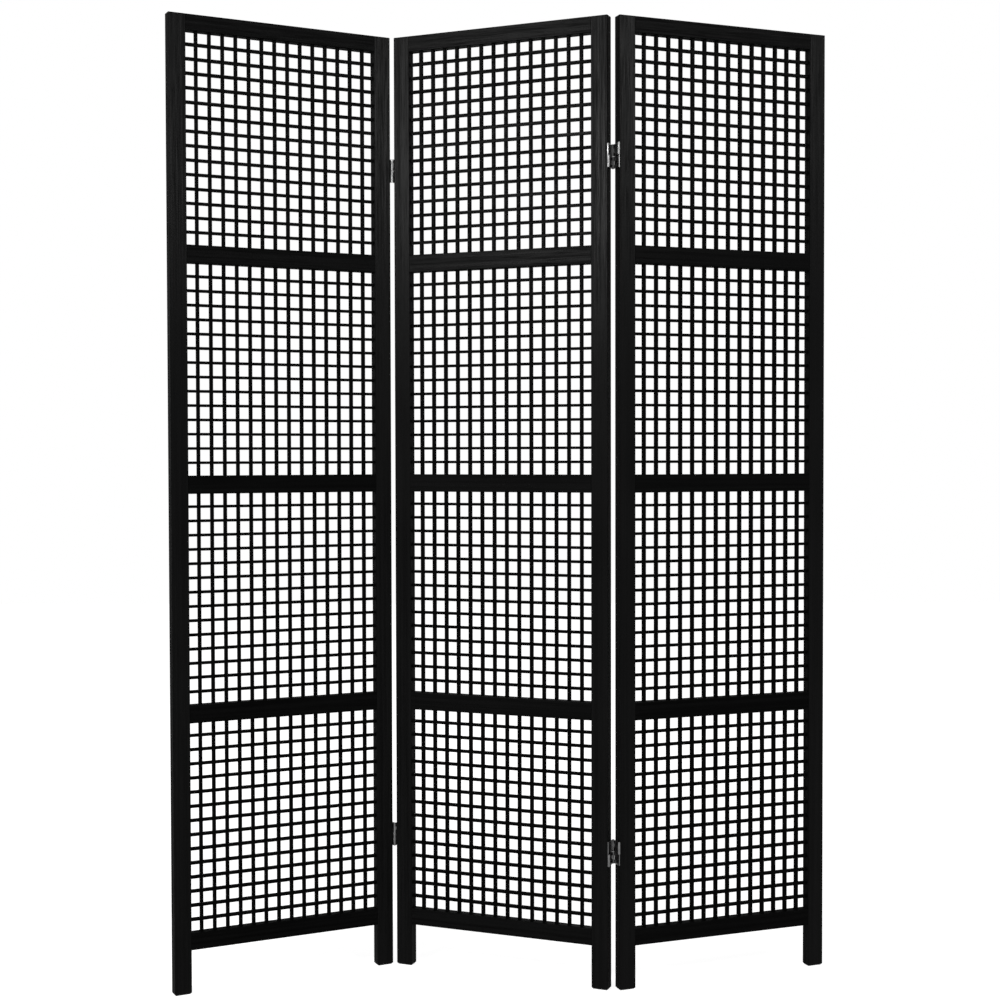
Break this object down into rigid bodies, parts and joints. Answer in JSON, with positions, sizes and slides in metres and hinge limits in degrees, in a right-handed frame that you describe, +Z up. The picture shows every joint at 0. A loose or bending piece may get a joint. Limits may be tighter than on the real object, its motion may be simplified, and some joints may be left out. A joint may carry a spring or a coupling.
{
  "type": "folding screen",
  "caption": "Free-standing folding screen of open lattice panels in dark wood, joined by double-action hinges and standing in a zigzag.",
  "frame": {"origin": "middle of the bottom of the whole screen as it stands in its zigzag, on the floor", "axes": "+Z up, +X to the right along the line of the screen, +Y from the front to the back; the front is seen looking along +Y"},
  "size_m": [1.2207, 0.2182, 1.7792],
  "materials": {
    "frame_wood": "black stained solid wood with a satin clear coat, vertical grain",
    "lattice_wood": "black stained thin wooden bars, satin",
    "hinge_plate": "nickel plated steel strip, satin",
    "pin_steel": "nickel plated steel rod, satin",
    "screw_steel": "nickel plated countersunk wood screw"
  },
  "bodies": {
    "left_panel": {"left_panel_left_stile": "frame_wood", "left_panel_right_stile": "frame_wood", "left_panel_bottom_rail": "frame_wood", "left_panel_top_rail": "frame_wood", "left_panel_middle_rail_1": "frame_wood", "left_panel_middle_rail_2": "frame_wood", "left_panel_middle_rail_3": "frame_wood", "left_panel_lattice_1": "lattice_wood", "left_panel_lattice_2": "lattice_wood", "left_panel_lattice_3": "lattice_wood", "left_panel_lattice_4": "lattice_wood", "left_panel_hinge_pins": "pin_steel", "left_panel_hinge_screws": "screw_steel", "left_upper_hinge_left_leaf": "hinge_plate", "left_upper_hinge_upper_link": "hinge_plate", "left_lower_hinge_left_leaf": "hinge_plate", "left_lower_hinge_upper_link": "hinge_plate"},
    "centre_panel": {"centre_panel_left_stile": "frame_wood", "centre_panel_right_stile": "frame_wood", "centre_panel_bottom_rail": "frame_wood", "centre_panel_top_rail": "frame_wood", "centre_panel_middle_rail_1": "frame_wood", "centre_panel_middle_rail_2": "frame_wood", "centre_panel_middle_rail_3": "frame_wood", "centre_panel_lattice_1": "lattice_wood", "centre_panel_lattice_2": "lattice_wood", "centre_panel_lattice_3": "lattice_wood", "centre_panel_lattice_4": "lattice_wood", "centre_panel_hinge_pins": "pin_steel", "centre_panel_hinge_screws": "screw_steel", "left_upper_hinge_right_leaf": "hinge_plate", "left_upper_hinge_lower_link": "hinge_plate", "right_upper_hinge_left_leaf": "hinge_plate", "right_upper_hinge_lower_link": "hinge_plate", "left_lower_hinge_right_leaf": "hinge_plate", "left_lower_hinge_lower_link": "hinge_plate", "right_lower_hinge_left_leaf": "hinge_plate", "right_lower_hinge_lower_link": "hinge_plate"},
    "right_panel": {"right_panel_left_stile": "frame_wood", "right_panel_right_stile": "frame_wood", "right_panel_bottom_rail": "frame_wood", "right_panel_top_rail": "frame_wood", "right_panel_middle_rail_1": "frame_wood", "right_panel_middle_rail_2": "frame_wood", "right_panel_middle_rail_3": "frame_wood", "right_panel_lattice_1": "lattice_wood", "right_panel_lattice_2": "lattice_wood", "right_panel_lattice_3": "lattice_wood", "right_panel_lattice_4": "lattice_wood", "right_panel_hinge_pins": "pin_steel", "right_panel_hinge_screws": "screw_steel", "right_upper_hinge_right_leaf": "hinge_plate", "right_upper_hinge_upper_link": "hinge_plate", "right_lower_hinge_right_leaf": "hinge_plate", "right_lower_hinge_upper_link": "hinge_plate"}
  },
  "joints": [
    {"name": "left_fold", "type": "hinge", "parent": "centre_panel", "child": "left_panel", "pos_m": [-0.21359, 0.08376, 0.8896], "axis": [0, 0, 1], "range_deg": [-49.6, 130.4]},
    {"name": "right_fold", "type": "hinge", "parent": "centre_panel", "child": "right_panel", "pos_m": [0.1983, -0.06227, 0.8896], "axis": [0, 0, 1], "range_deg": [-44, 136]}
  ]
}
